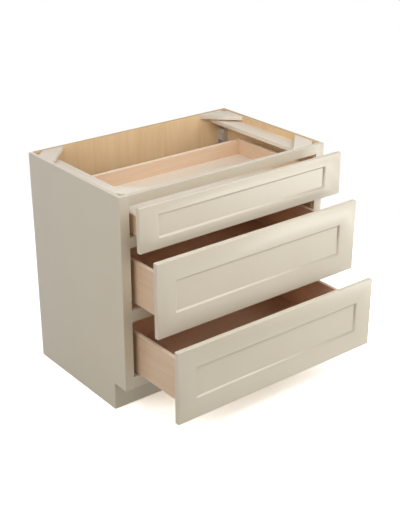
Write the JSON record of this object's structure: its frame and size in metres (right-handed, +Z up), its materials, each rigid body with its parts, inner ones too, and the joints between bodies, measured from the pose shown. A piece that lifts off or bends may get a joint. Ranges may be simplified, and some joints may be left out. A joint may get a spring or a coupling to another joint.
{
  "type": "base cabinet with drawers",
  "caption": "Floor-standing kitchen base cabinet with a face frame and recessed toe space, whose stacked drawers with framed fronts pull out on undermount slides; open top for a worktop.",
  "frame": {"origin": "on the floor, in the middle of the cabinet's rear face, which stands against the wall", "axes": "+X to the right seen from the front, +Y into the wall, +Z up; the drawers pull out towards -Y"},
  "size_m": [0.96, 0.9189, 0.8763],
  "materials": {
    "cream_paint": "satin cream paint",
    "cabinet_plywood": "clear-coated plywood",
    "bracing_wood": "pale bare wood",
    "drawer_birch": "clear-coated birch",
    "zinc_steel": "zinc-plated folded steel"
  },
  "bodies": {
    "cabinet": {"side_panel_left": "cream_paint", "side_panel_right": "cream_paint", "stile_left": "cream_paint", "stile_right": "cream_paint", "top_rail": "cream_paint", "upper_mid_rail": "cream_paint", "lower_mid_rail": "cream_paint", "bottom_rail": "cream_paint", "toe_kick_board": "cream_paint", "back_panel": "cabinet_plywood", "floor_panel": "cabinet_plywood", "corner_brace_rear_left": "bracing_wood", "corner_brace_rear_right": "bracing_wood", "corner_brace_front_left": "bracing_wood", "corner_brace_front_right": "bracing_wood", "stretcher_left": "bracing_wood", "stretcher_right": "bracing_wood", "top_cabinet_runner_left": "zinc_steel", "top_cabinet_runner_right": "zinc_steel", "middle_cabinet_runner_left": "zinc_steel", "middle_cabinet_runner_right": "zinc_steel", "bottom_cabinet_runner_left": "zinc_steel", "bottom_cabinet_runner_right": "zinc_steel"},
    "top_drawer": {"top_front_frame": "cream_paint", "top_front_panel": "cream_paint", "top_box_front": "drawer_birch", "top_box_back": "drawer_birch", "top_box_bottom": "drawer_birch", "top_box_side_left": "drawer_birch", "top_box_side_right": "drawer_birch", "top_drawer_runner_left": "zinc_steel", "top_drawer_runner_right": "zinc_steel"},
    "top_middle_runner_left": {"top_middle_runner_left": "zinc_steel"},
    "top_middle_runner_right": {"top_middle_runner_right": "zinc_steel"},
    "middle_drawer": {"middle_front_frame": "cream_paint", "middle_front_panel": "cream_paint", "middle_box_front": "drawer_birch", "middle_box_back": "drawer_birch", "middle_box_bottom": "drawer_birch", "middle_box_side_left": "drawer_birch", "middle_box_side_right": "drawer_birch", "middle_drawer_runner_left": "zinc_steel", "middle_drawer_runner_right": "zinc_steel"},
    "middle_middle_runner_left": {"middle_middle_runner_left": "zinc_steel"},
    "middle_middle_runner_right": {"middle_middle_runner_right": "zinc_steel"},
    "bottom_drawer": {"bottom_front_frame": "cream_paint", "bottom_front_panel": "cream_paint", "bottom_box_front": "drawer_birch", "bottom_box_back": "drawer_birch", "bottom_box_bottom": "drawer_birch", "bottom_box_side_left": "drawer_birch", "bottom_box_side_right": "drawer_birch", "bottom_drawer_runner_left": "zinc_steel", "bottom_drawer_runner_right": "zinc_steel"},
    "bottom_middle_runner_left": {"bottom_middle_runner_left": "zinc_steel"},
    "bottom_middle_runner_right": {"bottom_middle_runner_right": "zinc_steel"}
  },
  "joints": [
    {"name": "top_drawer_slide", "type": "slide", "parent": "cabinet", "child": "top_drawer", "axis": [0, -1, 0], "range_m": [-0.0823, 0.4257]},
    {"name": "top_middle_runner_left_slide", "type": "slide", "parent": "cabinet", "child": "top_middle_runner_left", "axis": [0, -1, 0], "range_m": [-0.0416, 0.2134]},
    {"name": "top_middle_runner_right_slide", "type": "slide", "parent": "cabinet", "child": "top_middle_runner_right", "axis": [0, -1, 0], "range_m": [-0.0416, 0.2134]},
    {"name": "middle_drawer_slide", "type": "slide", "parent": "cabinet", "child": "middle_drawer", "axis": [0, -1, 0], "range_m": [-0.1762, 0.3318]},
    {"name": "middle_middle_runner_left_slide", "type": "slide", "parent": "cabinet", "child": "middle_middle_runner_left", "axis": [0, -1, 0], "range_m": [-0.0886, 0.1664]},
    {"name": "middle_middle_runner_right_slide", "type": "slide", "parent": "cabinet", "child": "middle_middle_runner_right", "axis": [0, -1, 0], "range_m": [-0.0886, 0.1664]},
    {"name": "bottom_drawer_slide", "type": "slide", "parent": "cabinet", "child": "bottom_drawer", "axis": [0, -1, 0], "range_m": [-0.2882, 0.2198]},
    {"name": "bottom_middle_runner_left_slide", "type": "slide", "parent": "cabinet", "child": "bottom_middle_runner_left", "axis": [0, -1, 0], "range_m": [-0.1446, 0.1104]},
    {"name": "bottom_middle_runner_right_slide", "type": "slide", "parent": "cabinet", "child": "bottom_middle_runner_right", "axis": [0, -1, 0], "range_m": [-0.1446, 0.1104]}
  ],
  "couplings": [
    {"joint": "top_middle_runner_left_slide", "follows": "top_drawer_slide", "ratio": 0.5},
    {"joint": "top_middle_runner_right_slide", "follows": "top_drawer_slide", "ratio": 0.5},
    {"joint": "middle_middle_runner_left_slide", "follows": "middle_drawer_slide", "ratio": 0.5},
    {"joint": "middle_middle_runner_right_slide", "follows": "middle_drawer_slide", "ratio": 0.5},
    {"joint": "bottom_middle_runner_left_slide", "follows": "bottom_drawer_slide", "ratio": 0.5},
    {"joint": "bottom_middle_runner_right_slide", "follows": "bottom_drawer_slide", "ratio": 0.5}
  ]
}
